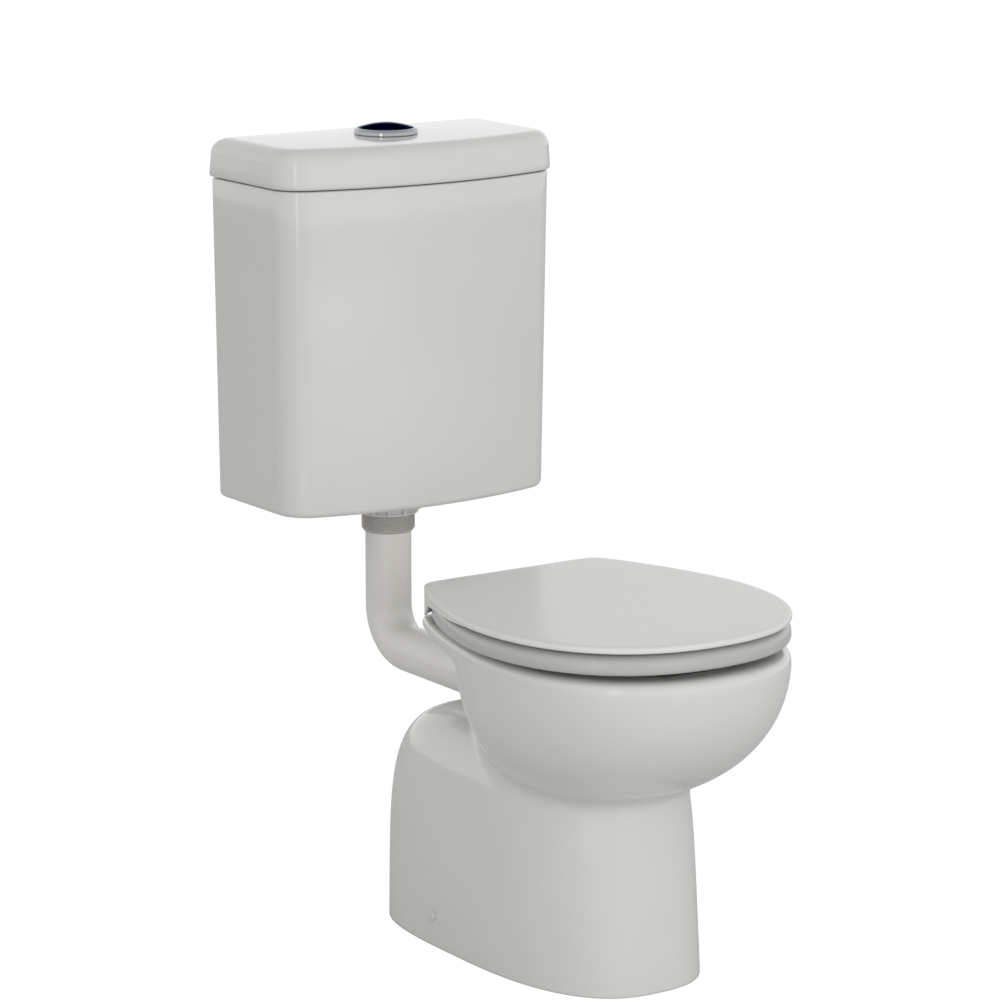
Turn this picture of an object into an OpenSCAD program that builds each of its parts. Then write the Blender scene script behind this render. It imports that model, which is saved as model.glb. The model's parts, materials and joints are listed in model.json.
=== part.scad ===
// Toilet suite with a china cistern hung on the wall, an exposed flush elbow,
// a pan with a curved skirt, and a hinged seat and lid. Millimetres, +Z up, front towards -Y.
// The origin is on the floor, below the middle of the whole suite.

/* [Overall] */
// Distance from the wall to the front of the bowl
projection = 727; // [724:1:732]
// Height of the top of the pan's rim above the floor
rim_z = 366.7; // [365:0.1:368]

/* [Cistern] */
// Height of the underside of the tank
tank_z = 447.7; // [440:0.1:450]
// Height of the top edge of the tank
tank_top_z = 811.2; // [805:0.1:811.4]
// Width and depth of the tank at its top
tank_top_w = 356.2; // [354:0.2:358]
tank_top_d = 191.9; // [190:0.1:193]
// Width and depth of the tank at its underside
tank_foot_w = 347; // [340:0.1:350]
tank_foot_d = 186.5; // [180:0.1:188]
// Radius of the tank's upright front corners
tank_corner_r = 40; // [30:1:45]
// Radius of the bowed front face, seen from above
front_bow_r = 506; // [450:2:700]
// Thickness of the china walls
tank_wall = 9; // [7:0.5:10]
// Width and depth of the cistern lid
lid_w = 363.2; // [362:0.2:366]
lid_d = 194.8; // [194:0.2:197]
// Height of the cistern lid
lid_h = 44; // [42:0.5:48]
// Radius of the lid's top edge
lid_edge_r = 17; // [12:1:20]

/* [Flush pipe] */
// Distance of the upright pipe and of the flush button from the wall
flush_d = 84.4; // [80:0.1:88]
// Outer diameter of the pipe
pipe_od = 52.5; // [50:0.5:53]
// Height of the pipe's level run
pipe_z = 272.5; // [268:0.5:276]
// Radius of the bend's centreline
bend_r = 45; // [40:1:55]

/* [Pan] */
// Half width of the bowl below its rim
bowl_a = 162; // [160:0.5:165]
// Depth of the bowl's outer curve
bowl_h = 177; // [172:1:182]
// Half width of the skirt at the floor
skirt_a = 113.5; // [110:0.5:116]
// Height of the hump over the trap
hump_z = 254.9; // [252:0.5:258]
// Thickness of the pan's china
pan_wall = 12; // [10:0.5:13]

/* [Seat] */
// Greatest half width of the seat lid
seat_a = 173.8; // [170:0.2:176]
// Height of the seat lid's lower edge
seat_lid_z = 396.9; // [396.5:0.1:400]
// Thickness of the seat lid at its edge
seat_lid_t = 7.4; // [6:0.1:9]
// Height of the seat ring's underside
ring_z = 374.5; // [373:0.1:375]
// Thickness of the seat ring
ring_t = 20; // [18:0.5:20.5]
// Height of the hinge pins above the floor
hinge_z = 379; // [379:0.1:379.4]

/* [Flush button] */
// Radius of the chrome bezel
bezel_r = 36; // [34:0.5:37]
// Height of the button's dome above the cistern lid
dome_h = 12.5; // [12:0.1:13]

/* [Hidden] */
$fn = 64;

wall_y = projection / 2;
sides = [-1, 1];
china = "#e8e8e3";
white_plastic = "#ecece8";
grey_plastic = "#a9a6a3";
rubber = "#2b2b2d";
steel = "#b9bcc0";

// Pan: distances are from the wall, and outlines are superellipses about a centre.
bowl_d = 532.7;        // centre of the rim
bowl_bf = 194.3;       // centre to the front of the rim
bowl_br = 194.2;       // centre to the back of the bowl
bowl_shift = 88;       // how far the bowl's foot lies behind the rim's centre
bowl_z = rim_z - 6;    // where the bowl's curve starts
bowl_nf = 2.3;
bowl_nr = 2.0;
bowl_m = [2.1, 2.18];  // exponents of the bowl's upright profile
deck_br = 345;         // rear reach of the deck's side curve
deck_nr = 1.6;
deck_back = bowl_d - 314;
deck_blend = [336, 355];
skirt_d = 396.2;
skirt_bf = 218.2;
skirt_br = 206.5;
skirt_nf = 2.64;
skirt_nr = 3.42;
hump_m = [4.4, 5.4];   // exponents of the hump's back and side profiles
skirt_lean = [0.094, 0.035];
opening_a = 116;       // mouth of the bowl, inside the rim
opening_b = 150;
sump_r = 42;
sump_z = 78;
trap_r = 30;
trap = [[440, 112], [345, 198], [262, 150], [262, 60]]; // centreline: from the wall, height
outlet_r = 51;
outlet_bore_r = 42;
outlet_z = 8;
horn_r = 38;
horn_d = 322;          // where the flush inlet's mouth is
horn_bore_r = 30;
horn_depth = 27;
pipe_end_d = 346;
screw_d = 346.6;       // side fixing
screw_z = 34;
bracket_x = 66;
bracket_hole_r = 4;

// Seat and hinge
seat_d = 524;
seat_bf = 191.2;
seat_nf = 2.27;
seat_br = 308.7;
seat_nr = 1.55;
lid_back_d = 328.7;
ring_back_d = 356;
ring_taper = 19;       // how much shorter the ring's rear curve is, to clear the lid's rim
ring_in = [114, 129, 119]; // half width, front reach and back reach of the hole
hinge_d = 337.2;
pin_r = 3;
barrel_r = 5.6;
post_x = 77.5;
post_w = 13;
lug_gap = 1.5;
lug_w = 12;
rim_t = 3;             // the lid's turned-down rim
hood_z = 371;
rim_edge = [[360, 380], [371, 389], [409, 392.8], [452, 394.5], [500, 397.5]]; // from the wall, height
bolt_d = 350;

// Cistern fittings
lid_z = tank_top_z + 1.2;
lid_top = lid_z + lid_h;
floor_z = tank_z + 11;       // inside of the tank's floor
tail_r = 30.5;
tail_z = 403.5;
tail_taper = 3;              // height and depth of the taper at the tail's foot
backnut_z = 425;
tank_hole_r = 32;
valve_top = 735;
lift = 24;                   // travel of the flush valve
fill_x = 120;
fill_d = 40;
shank_r = 10.475;            // G 1/2 thread
shank_z = 423.7;
shank_free = 13;             // length of thread left below the backnut
shank_root_r = 9.8;
float_z = 560;
wall_screw_x = 110;
wall_screw_z = 770;
sleeve_r = 19.5;
sleeve_bore = 17;
shelf_z = lid_top - 32;
full_x = -7;
half_x = 9;
split_r = 40;                // curved join between the two buttons
split_x = 45;
rod_r = 2.5;
rod_z = 745;

function at(d) = wall_y - d;
function lerp(a, b, t) = a + (b - a) * t;
function clamp01(t) = min(1, max(0, t));
function smooth(t) = let (u = clamp01(t)) u * u * (3 - 2 * u);

// Radius of a superellipse at an angle
function super_r(phi, a, b, n) = pow(pow(abs(cos(phi)) / a, n) + pow(abs(sin(phi)) / b, n), -1 / n);
// The smaller of two radii, with a rounded join that gets sharper as p grows
function soft_min(r, s, p) = pow(pow(r, -p) + pow(s, -p), -1 / p);
// Radius of an egg outline whose back is cut off straight at a distance from the centre
function egg_r(phi, a, bf, nf, br, nr, back, p) =
  sin(phi) > 0.01
  ? soft_min(super_r(phi, a, br, nr), back / sin(phi), p)
  : super_r(phi, a, sin(phi) > 0 ? br : bf, sin(phi) > 0 ? nr : nf);
function ring_points(n, d, z, radii) =
  [for (i = [0:n - 1]) let (phi = 360 * i / n) [radii[i] * cos(phi), at(d) + radii[i] * sin(phi), z]];

// Solid through level rings, lowest first, each counter-clockwise from above
module loft(rings) {
  n = len(rings[0]);
  m = len(rings);
  polyhedron(
    points = [for (r = rings) each r],
    faces = concat(
      [[for (i = [0:n - 1]) i]],
      [for (k = [0:m - 2], i = [0:n - 1]) let (a = k * n + i, b = k * n + (i + 1) % n)
        each [[a, a + n, b + n], [a, b + n, b]]],
      [[for (i = [n - 1:-1:0]) (m - 1) * n + i]]
    )
  );
}

module from_to(a, b, r) {
  v = b - a;
  translate(a) rotate([0, acos(v.z / norm(v)), atan2(v.y, v.x)]) cylinder(h = norm(v), r = r);
}

module along_x(x, d, z, length, r) {
  translate([x, at(d), z]) rotate([0, 90, 0]) cylinder(h = length, r = r, center = true);
}

module tube(z0, z1, r_out, r_in) {
  translate([0, 0, z0]) difference() {
    cylinder(h = z1 - z0, r = r_out);
    translate([0, 0, -1]) cylinder(h = z1 - z0 + 2, r = r_in);
  }
}

// ---- Pan ----

n_pan = 60;
function bowl_s(z) = z >= bowl_z ? 1 : pow(1 - pow((bowl_z - z) / bowl_h, bowl_m[0]), 1 / bowl_m[1]);
function bowl_ring(z, inset = 0, deck = true) =
  let (
    s = bowl_s(z),
    u = deck ? smooth((z - deck_blend[0]) / (deck_blend[1] - deck_blend[0])) : 0,
    a = bowl_a * s - inset,
    bf = bowl_bf * s - inset,
    br = bowl_br * s - inset
  )
  ring_points(n_pan, bowl_d - bowl_shift * (1 - s), z, [for (i = [0:n_pan - 1])
    let (phi = 360 * i / n_pan)
    lerp(
      super_r(phi, a, sin(phi) > 0 ? br : bf, sin(phi) > 0 ? bowl_nr : bowl_nf),
      egg_r(phi, a, bf, bowl_nf, deck_br, deck_nr, deck_back - inset, 30),
      u
    )]);
function skirt_ring(t, inset = 0) =
  let (
    a = skirt_a * (1 - skirt_lean[1] * t) * pow(1 - pow(t, hump_m[1]), 1 / hump_m[1]) - inset,
    bf = skirt_bf * (1 - skirt_lean[0] * t) - inset,
    br = skirt_br * pow(1 - pow(t, hump_m[0]), 1 / hump_m[0]) - inset
  )
  ring_points(n_pan, skirt_d, hump_z * t, [for (i = [0:n_pan - 1])
    let (phi = 360 * i / n_pan)
    super_r(phi, a, sin(phi) > 0 ? br : bf, sin(phi) > 0 ? skirt_nr : skirt_nf)]);

module bowl_outside() {
  depths = [0.985, 0.94, 0.87, 0.78, 0.68, 0.57, 0.46, 0.35, 0.25];
  levels = [336, 340, 344, 348, 352, 356, bowl_z];
  loft(concat(
    [for (t = depths) bowl_ring(bowl_z - bowl_h * t)],
    [for (z = levels) bowl_ring(z)],
    [bowl_ring(rim_z - 2, 1.5), bowl_ring(rim_z, 5)]
  ));
}

module skirt_outside() {
  loft([for (t = [0, 0.25, 0.45, 0.6, 0.7, 0.78, 0.85, 0.9, 0.94, 0.965, 0.985]) skirt_ring(t)]);
}

module skirt_hollow() {
  intersection() {
    loft([for (t = [0, 0.3, 0.5, 0.65, 0.76, 0.84, 0.9]) skirt_ring(t, pan_wall)]);
    translate([-200, at(skirt_d + 300), -1]) cube([400, 600, hump_z * 0.9 - 10]);
  }
}

module bowl_hollow() {
  lip_z = rim_z - 32;
  loft(concat(
    [for (t = [0.9, 0.82, 0.72, 0.6, 0.47, 0.34, 0.22]) bowl_ring(bowl_z - bowl_h * t, pan_wall, false)],
    [bowl_ring(lip_z, pan_wall + 2, false)]
  ));
  loft([for (z = [lip_z - 4, rim_z - 8, rim_z - 2, rim_z + 1])
    let (grow = z > rim_z - 3 ? (z > rim_z ? 5 : 1.5) : 0)
    ring_points(n_pan, bowl_d, z, [for (i = [0:n_pan - 1])
      super_r(360 * i / n_pan, opening_a + grow, opening_b + grow, 2.25)])]);
  translate([0, at(bowl_d - bowl_shift + 4), sump_z]) cylinder(h = 155, r = sump_r);
}

// Straight runs joined by balls that are a little wider, so that no two faces only touch
module trap_run(grow) {
  for (i = [0:len(trap) - 2])
    from_to([0, at(trap[i][0]), trap[i][1]], [0, at(trap[i + 1][0]), trap[i + 1][1]], trap_r + grow);
  for (p = trap) translate([0, at(p[0]), p[1]]) rotate([66, 0, 0]) sphere(r = trap_r + grow + 1.2);
}

module hinge_bolt_places() {
  for (s = sides) translate([s * post_x, at(bolt_d), 0]) children();
}

module pan() {
  color(china) difference() {
    union() {
      difference() {
        skirt_outside();
        skirt_hollow();
      }
      bowl_outside();
      trap_run(9);
      translate([0, at(bowl_d - bowl_shift + 4), sump_z - 10]) cylinder(h = 155, r = sump_r + 9);
      translate([0, at(trap[3][0]), outlet_z]) cylinder(h = 112, r = outlet_r);
      from_to([0, at(horn_d), pipe_z], [0, at(horn_d + 60), pipe_z], horn_r);
    }
    bowl_hollow();
    trap_run(0);
    translate([0, at(trap[3][0]), outlet_z - 1]) cylinder(h = 95, r = outlet_bore_r);
    from_to([0, at(horn_d - 1), pipe_z], [0, at(horn_d + horn_depth), pipe_z], horn_bore_r);
    from_to([0, at(horn_d), pipe_z], [0, at(horn_d + 90), pipe_z], 20);
    from_to([0, at(180), pipe_z], [0, at(horn_d + 1), pipe_z], pipe_od / 2 + 2);
    from_to([0, at(horn_d - 6), pipe_z], [0, at(horn_d), pipe_z], horn_r - 2);
    hinge_bolt_places() translate([0, 0, 300]) cylinder(h = 100, r = 7);
    hinge_bolt_places() translate([0, 0, 300]) cylinder(h = 48, r = 13);
    for (s = sides) along_x(s * 110, screw_d, screw_z, 40, 5);
  }
}

module pan_side_screws() {
  color(steel) for (s = sides) {
    along_x(s * 93, screw_d, screw_z, 34, 2.4);
    along_x(s * 108.5, screw_d, screw_z, 3, 4.6);
  }
}

module pan_screw_caps() {
  color(white_plastic) for (s = sides) difference() {
    union() {
      along_x(s * 113.9, screw_d, screw_z, 2, 6.6);
      along_x(s * 112.3, screw_d, screw_z, 3, 4.7);
    }
    along_x(s * 111.3, screw_d, screw_z, 2, 3.4);
  }
}

module floor_brackets() {
  color(white_plastic) for (s = sides) difference() {
    union() {
      translate([s * 74 - 20, at(screw_d) - 22, 0]) cube([40, 44, 6]);
      translate([s * 84 - 7, at(screw_d) - 15, 0]) cube([14, 30, 46]);
    }
    along_x(s * 84, screw_d, screw_z, 30, 2.4);
    translate([s * bracket_x, at(screw_d), -1]) cylinder(h = 8, r = bracket_hole_r);
  }
}

// ---- Flush pipe ----

module flush_pipe() {
  r = pipe_od / 2;
  bore = r - 2.6;
  corner_d = flush_d + bend_r;
  module run(radius, over) {
    translate([0, at(flush_d), pipe_z + bend_r]) cylinder(h = 441 - pipe_z - bend_r + over, r = radius);
    from_to([0, at(corner_d), pipe_z], [0, at(pipe_end_d + over), pipe_z], radius);
    translate([0, at(corner_d), pipe_z + bend_r]) rotate([0, 90, 0])
      rotate_extrude(angle = 90) translate([bend_r, 0]) circle(r = radius);
  }
  color(white_plastic) difference() {
    run(r, 0);
    run(bore, 1);
  }
}

module flush_cone() {
  color(rubber) translate([0, at(horn_d - 4), pipe_z]) rotate([90, 0, 0]) rotate_extrude()
    polygon([[pipe_od / 2 + 0.05, 0], [horn_r - 3.5, 0], [horn_r - 3.5, 3.8], [horn_bore_r - 0.1, 3.8],
      [horn_bore_r - 0.1, 24], [pipe_od / 2 + 0.05, 24]]);
}

// ---- Cistern ----

function arc(cx, cy, r, a0, a1, n) = [for (i = [0:n]) let (a = lerp(a0, a1, i / n)) [cx + r * cos(a), cy + r * sin(a)]];
// Outline with a flat back, square back corners and a bowed front, counter-clockwise from above
function cistern_outline(w, d, rc, inset) =
  let (
    half = w / 2 - inset,
    r = max(rc - inset, 2),
    back = -inset,
    bow_y = -d + front_bow_r,
    bow = front_bow_r - inset,
    cx = half - r,
    cy = bow_y - sqrt(pow(bow - r, 2) - pow(cx, 2)),
    turn = atan2(cy - bow_y, cx),
    rb = 6
  )
  concat(
    arc(half - rb, back - rb, rb, 90, 0, 3),
    arc(cx, cy, r, 0, turn, 8),
    arc(0, bow_y, bow, turn, -180 - turn, 12),
    arc(-cx, cy, r, -180 - turn, -180, 8),
    arc(-half + rb, back - rb, rb, 180, 90, 3)
  );
function cistern_ring(w, d, rc, inset, z) =
  let (o = cistern_outline(w, d, rc, inset))
  [for (i = [len(o) - 1:-1:0]) [o[i].x, at(0) + o[i].y, z]];
function tank_ring(z, inset) =
  let (t = (z - tank_z) / (tank_top_z - tank_z))
  cistern_ring(lerp(tank_foot_w, tank_top_w, t), lerp(tank_foot_d, tank_top_d, t), tank_corner_r, inset, z);
function edge_levels(z, r, steps) =
  [for (i = [0:steps]) let (a = 90 * i / steps) [z - r + r * sin(a), r * (1 - cos(a))]];

module cistern_tank() {
  foot_r = 7;
  color(china) difference() {
    loft(concat(
      [for (i = [0:5]) let (a = 90 * i / 5) tank_ring(tank_z + foot_r * (1 - cos(a)), foot_r * (1 - sin(a)))],
      [tank_ring(tank_top_z - 2, 0), tank_ring(tank_top_z, 1.5)]
    ));
    loft([tank_ring(floor_z, tank_wall + 5), tank_ring(floor_z + 6, tank_wall),
      tank_ring(tank_top_z + 1, tank_wall)]);
    translate([0, at(flush_d), tank_z - 1]) cylinder(h = 20, r = tank_hole_r);
    translate([fill_x, at(fill_d), tank_z - 1]) cylinder(h = 20, r = shank_r + 1);
    for (s = sides) translate([s * wall_screw_x, at(-1), wall_screw_z]) rotate([90, 0, 0]) cylinder(h = 20, r = 5);
  }
}

module cistern_lid() {
  function lid_ring(z, inset) = cistern_ring(lid_w, lid_d, tank_corner_r + 2, inset, z);
  ceiling = lid_top - 11;
  color(china) difference() {
    union() {
      difference() {
        loft(concat(
          [lid_ring(lid_z, 2.5), lid_ring(lid_z + 1, 0.8), lid_ring(lid_z + 3.5, 0)],
          [for (e = edge_levels(lid_top, lid_edge_r, 7)) lid_ring(e[0], e[1] + 1.5)]
        ));
        loft([lid_ring(lid_z - 1, 8), lid_ring(ceiling - 8, 9), lid_ring(ceiling, 17)]);
      }
      difference() {
        loft([lid_ring(lid_z - 9, 16), lid_ring(ceiling + 1, 16)]);
        loft([lid_ring(lid_z - 10, 22), lid_ring(ceiling + 2, 22)]);
      }
    }
    translate([0, at(flush_d), lid_z]) cylinder(h = lid_h + 1, r = sleeve_r + 0.5);
  }
}

// ---- Flush button ----

module at_flush_axis() {
  translate([0, at(flush_d), 0]) children();
}

module button_bezel() {
  color("#c9ccd1") at_flush_axis() {
    translate([0, 0, lid_top]) rotate_extrude()
      polygon([[sleeve_bore, 0], [bezel_r - 0.6, 0], [bezel_r, 0.8], [bezel_r, 3], [bezel_r - 1, 5.2],
        [bezel_r - 2.6, 6.7], [bezel_r - 3.8, 7], [bezel_r - 4.9, 6.6], [bezel_r - 4.9, 1], [sleeve_bore, 1]]);
    tube(lid_top - 40, lid_top + 1, sleeve_r, sleeve_bore);
    difference() {
      translate([0, 0, shelf_z - 2]) cylinder(h = 2, r = sleeve_bore + 0.5);
      translate([full_x, 0, shelf_z - 3]) cylinder(h = 4, r = 5.4);
      translate([half_x, 0, shelf_z - 3]) cylinder(h = 4, r = 4.4);
    }
  }
}

module button_locknut() {
  color(grey_plastic) at_flush_axis() difference() {
    union() {
      tube(lid_top - 21, lid_top - 11.2, 25, sleeve_r + 0.05);
      for (a = [0:60:300]) rotate([0, 0, a]) translate([23, -4, lid_top - 21]) cube([6, 8, 9.8]);
    }
    translate([0, 0, lid_top - 30]) cylinder(h = 30, r = sleeve_r + 0.05);
  }
}

// Thin shallow dome that the two buttons are cut from
module dome() {
  rim_r = bezel_r - 5.3;
  rise = dome_h - 7;
  big_r = (pow(rim_r, 2) + pow(rise, 2)) / (2 * rise);
  difference() {
    intersection() {
      translate([0, 0, lid_top + 5.3]) cylinder(h = dome_h, r = rim_r);
      translate([0, 0, lid_top + dome_h - big_r]) sphere(r = big_r, $fn = 120);
    }
    translate([0, 0, lid_top + dome_h - big_r]) sphere(r = big_r - 1.6, $fn = 120);
  }
}

module half_side(gap) {
  translate([split_x, 0, lid_top - 5]) cylinder(h = 40, r = split_r + gap);
}

// Hollow stem that takes the push rod
module stem(x, r) {
  translate([x, 0, lid_top - 42]) difference() {
    cylinder(h = 41 + dome_h, r = r);
    translate([0, 0, -1]) cylinder(h = 13, r = rod_r);
  }
}

module full_flush_button() {
  color("#d5d8dc") at_flush_axis() {
    difference() {
      dome();
      half_side(0.35);
    }
    stem(full_x, 5);
  }
}

module half_flush_button() {
  color("#d5d8dc") at_flush_axis() {
    intersection() {
      dome();
      half_side(-0.35);
    }
    stem(half_x, 4);
  }
}

module push_rod(x) {
  color(white_plastic) at_flush_axis() translate([x, 0, rod_z]) {
    cylinder(h = lid_top - 30 - rod_z, r = rod_r);
    cylinder(h = 3, r = 3.6);
  }
}

module full_push_rod() { push_rod(full_x); }
module half_push_rod() { push_rod(half_x); }

// Helical spring on the shelf, swept as one closed tube
module spring(x) {
  turns = 5;
  steps = 16;
  wire = 0.5;
  coil_r = 6.6;
  low = shelf_z + 0.6;
  rise = lid_top + dome_h - 3.9 - low;
  total = turns * steps;
  sides_n = 6;
  function ring(k) =
    let (a = 360 * k / steps, z = low + rise * k / total)
    [for (j = [0:sides_n - 1]) let (b = 360 * j / sides_n)
      [x + (coil_r + wire * cos(b)) * cos(a), at(flush_d) + (coil_r + wire * cos(b)) * sin(a), z + wire * sin(b)]];
  rings = [for (k = [0:total]) ring(k)];
  color(steel) polyhedron(
    points = [for (r = rings) each r],
    faces = concat(
      [[for (j = [0:sides_n - 1]) j]],
      [for (k = [0:total - 1], j = [0:sides_n - 1])
        let (a = k * sides_n + j, b = k * sides_n + (j + 1) % sides_n)
        each [[a, a + sides_n, b + sides_n], [a, b + sides_n, b]]],
      [[for (j = [sides_n - 1:-1:0]) total * sides_n + j]]
    )
  );
}

module full_button_spring() { spring(full_x); }
module half_button_spring() { spring(half_x); }

// ---- Flush valve ----

module flush_valve_base() {
  color(grey_plastic) at_flush_axis() {
    tube(tail_z + tail_taper, floor_z + 10, tail_r, pipe_od / 2 + 0.05);
    rotate_extrude() polygon([[pipe_od / 2 + 0.05, tail_z], [tail_r - tail_taper, tail_z],
      [tail_r, tail_z + tail_taper], [tail_r, tail_z + tail_taper + 1], [pipe_od / 2 + 0.05, tail_z + tail_taper + 1]]);
    tube(floor_z + 4, floor_z + 9, 44, tail_r - 1);
    tube(floor_z + 8, floor_z + 13, 28, 22);
    tube(floor_z + 8, floor_z + 10, tail_r, 22);
  }
}

module tank_outlet_seal() {
  color(rubber) at_flush_axis() tube(floor_z, floor_z + 4, 43, tail_r + 0.1);
}

module outlet_backnut() {
  color(grey_plastic) at_flush_axis() {
    tube(backnut_z, tank_z - 0.1, 32.6, tail_r + 0.05);
    tube(backnut_z, backnut_z + 2.4, 34.4, tail_r + 0.05);
    tube(tank_z - 4, tank_z - 0.1, 37, tail_r + 0.05);
    for (a = [0:30:330]) rotate([0, 0, a]) translate([32, -2, backnut_z + 2]) cube([5, 4, 20]);
  }
}

module flush_valve_tower() {
  color(white_plastic) at_flush_axis() difference() {
    union() {
      tube(floor_z + 9, valve_top, 34, 31);
      tube(floor_z + 9, floor_z + 14, 40, 31);
      tube(valve_top - 30, valve_top - 26, 33, 13);
    }
    for (a = [0:90:270]) rotate([0, 0, a + 45]) translate([0, -13, floor_z + 16]) cube([40, 26, 70]);
    for (a = [0:90:270]) rotate([0, 0, a + 45]) translate([20, -8, 600]) cube([20, 16, 70]);
  }
}

module lift_tube() {
  color(white_plastic) at_flush_axis() {
    tube(floor_z + 17.5, 705, 11.5, 9.5);
    tube(floor_z + 17.5, floor_z + 20, 24, 9.5);
  }
}

module valve_seal() {
  color(rubber) at_flush_axis() tube(floor_z + 13.2, floor_z + 17.5, 27, 10);
}

module lift_float() {
  color("#d9dde3") at_flush_axis() {
    tube(560, 563, 27, 11.5);
    tube(560, 620, 27, 25);
    tube(618, 620, 27, 11.5);
  }
}

// ---- Fill valve ----

module at_fill() {
  translate([fill_x, at(fill_d), 0]) children();
}

module fill_valve_column() {
  color(white_plastic) at_fill() {
    tube(shank_z, shank_z + shank_free, shank_r, 6);
    tube(shank_z + shank_free, floor_z + 3, shank_root_r, 6);
    tube(floor_z + 3, floor_z + 8, 18, 6);
    tube(floor_z + 8, 772, 8, 6);
  }
}

module fill_valve_head() {
  color("#5f6670") at_fill() {
    tube(768, 772, 14, 8);
    translate([0, 0, 772]) cylinder(h = 24, r = 15);
    translate([-34, -4, 780]) cube([22, 8, 8]);
  }
}

module inlet_seal() {
  color(rubber) at_fill() tube(floor_z, floor_z + 3, 17, shank_root_r + 0.05);
}

module inlet_backnut() {
  color(white_plastic) at_fill() difference() {
    translate([0, 0, tank_z - 10]) cylinder(h = 9.8, r = 17, $fn = 6);
    translate([0, 0, tank_z - 11]) cylinder(h = 12, r = shank_root_r + 0.05);
  }
}

module fill_float() {
  color("#c8d2dc") at_fill() {
    tube(float_z, float_z + 3, 23, 8.4);
    tube(float_z, float_z + 60, 23, 21);
    tube(float_z, float_z + 60, 11.2, 8.4);
    tube(float_z + 57, float_z + 60, 23, 8.4);
  }
}

// ---- Seat ----

n_seat = 72;
function seat_ring_at(z, inset, back_d, taper = 0) =
  ring_points(n_seat, seat_d, z, [for (i = [0:n_seat - 1])
    egg_r(360 * i / n_seat, seat_a - inset, seat_bf - inset, seat_nf, seat_br - inset - taper, seat_nr,
      seat_d - back_d - inset, 36)]);

module seat_ring() {
  top = ring_z + ring_t;
  hole = [[ring_z - 1, -3], [ring_z + 4, -0.5], [ring_z + 9, 0], [top - 5, -1], [top - 1, -4], [top + 1, -9]];
  color(white_plastic) difference() {
    union() {
      loft([for (e = [[ring_z, 3.5], [ring_z + 1.5, 1.2], [ring_z + 5, 0.5], [top - 9, 1], [top - 4, 3],
        [top - 1, 7.5], [top, 12]]) seat_ring_at(e[0], e[1], ring_back_d, ring_taper)]);
      for (s = sides) translate([s * (post_x + post_w / 2 + lug_gap + lug_w / 2), 0, 0]) {
        along_x(0, hinge_d, hinge_z, lug_w, barrel_r);
        translate([-lug_w / 2, at(ring_back_d + 8), hinge_z - 3]) cube([lug_w, ring_back_d + 8 - hinge_d, 8]);
      }
    }
    loft([for (h = hole) ring_points(n_seat, seat_d, h[0], [for (i = [0:n_seat - 1])
      let (phi = 360 * i / n_seat)
      super_r(phi, ring_in[0] - h[1], (sin(phi) > 0 ? ring_in[2] : ring_in[1]) - h[1], 2.2)])]);
    along_x(0, hinge_d, hinge_z, 260, pin_r + 0.05);
  }
}

module ring_buffers() {
  color(white_plastic) for (s = sides, p = [[96, 610], [132, 440]])
    translate([s * p[0], at(p[1]), 0]) tube(rim_z + 0.3, ring_z, 8, 2);
}

// Turned-down rim, deep behind the hinge and shallow along the sides
module lid_rim() {
  intersection() {
    difference() {
      loft([for (z = [hood_z, seat_lid_z + 2]) seat_ring_at(z, 0.3, lid_back_d)]);
      loft([for (z = [hood_z - 1, seat_lid_z + 3]) seat_ring_at(z, 0.3 + rim_t, lid_back_d)]);
    }
    rotate([90, 0, 90]) translate([0, 0, -200]) linear_extrude(400)
      polygon(concat(
        [[at(rim_edge[4][0]), seat_lid_z + 1], [at(lid_back_d - 2), seat_lid_z + 1],
          [at(lid_back_d - 2), hood_z], [at(344), hood_z]],
        [for (e = rim_edge) [at(e[0]), e[1]]]
      ));
  }
}

module seat_lid() {
  top = seat_lid_z + seat_lid_t;
  notch_w = 30.5; // clears the post and the ring's lug beside it
  color(white_plastic) difference() {
    union() {
      loft([for (e = [[seat_lid_z, 1], [seat_lid_z + 1, 0.2], [top - 3, 0], [top - 1, 0.9], [top - 0.2, 2.6],
        [top, 5], [top + 0.6, 40]]) seat_ring_at(e[0], e[1], lid_back_d)]);
      lid_rim();
      for (s = sides) translate([s * (post_x - post_w / 2 - lug_gap - lug_w / 2), 0, 0]) {
        along_x(0, hinge_d, hinge_z, lug_w, barrel_r);
        translate([-lug_w / 2, at(hinge_d + 5), hinge_z]) cube([lug_w, 10, seat_lid_z + 2 - hinge_z]);
      }
    }
    for (s = sides) translate([s * (post_x + notch_w / 2 - 9.5) - notch_w / 2, at(lid_back_d + 8), hood_z - 1])
      cube([notch_w, 10, seat_lid_z - hood_z]);
    along_x(0, hinge_d, hinge_z, 220, pin_r + 0.05);
  }
}

module lid_buffers() {
  color(white_plastic) for (s = sides, p = [[112, 625], [150, 480]])
    translate([s * p[0], at(p[1]), ring_z + ring_t + 0.3]) cylinder(h = seat_lid_z - ring_z - ring_t - 0.3, r = 6);
}

module hinge_posts() {
  color(white_plastic) for (s = sides) difference() {
    union() {
      translate([s * post_x - 7.5, at(363), rim_z]) cube([15, 31, 3]);
      translate([s * post_x - post_w / 2, at(hinge_d + barrel_r), rim_z + 2])
        cube([post_w, 2 * barrel_r, hinge_z - rim_z - 2]);
      along_x(s * post_x, hinge_d, hinge_z, post_w, barrel_r);
    }
    along_x(s * post_x, hinge_d, hinge_z, 30, pin_r);
    translate([s * post_x, at(bolt_d), rim_z - 1]) cylinder(h = 8, r = 3);
  }
}

module hinge_pins() {
  color(steel) for (s = sides) along_x(s * post_x, hinge_d, hinge_z, post_w + 2 * (lug_gap + lug_w) - 1, pin_r);
}

module hinge_bolts() {
  color(steel) hinge_bolt_places() {
    translate([0, 0, 318]) cylinder(h = rim_z + 3 - 318, r = 3);
    translate([0, 0, rim_z + 3]) cylinder(h = 3, r = 5);
  }
}

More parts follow.
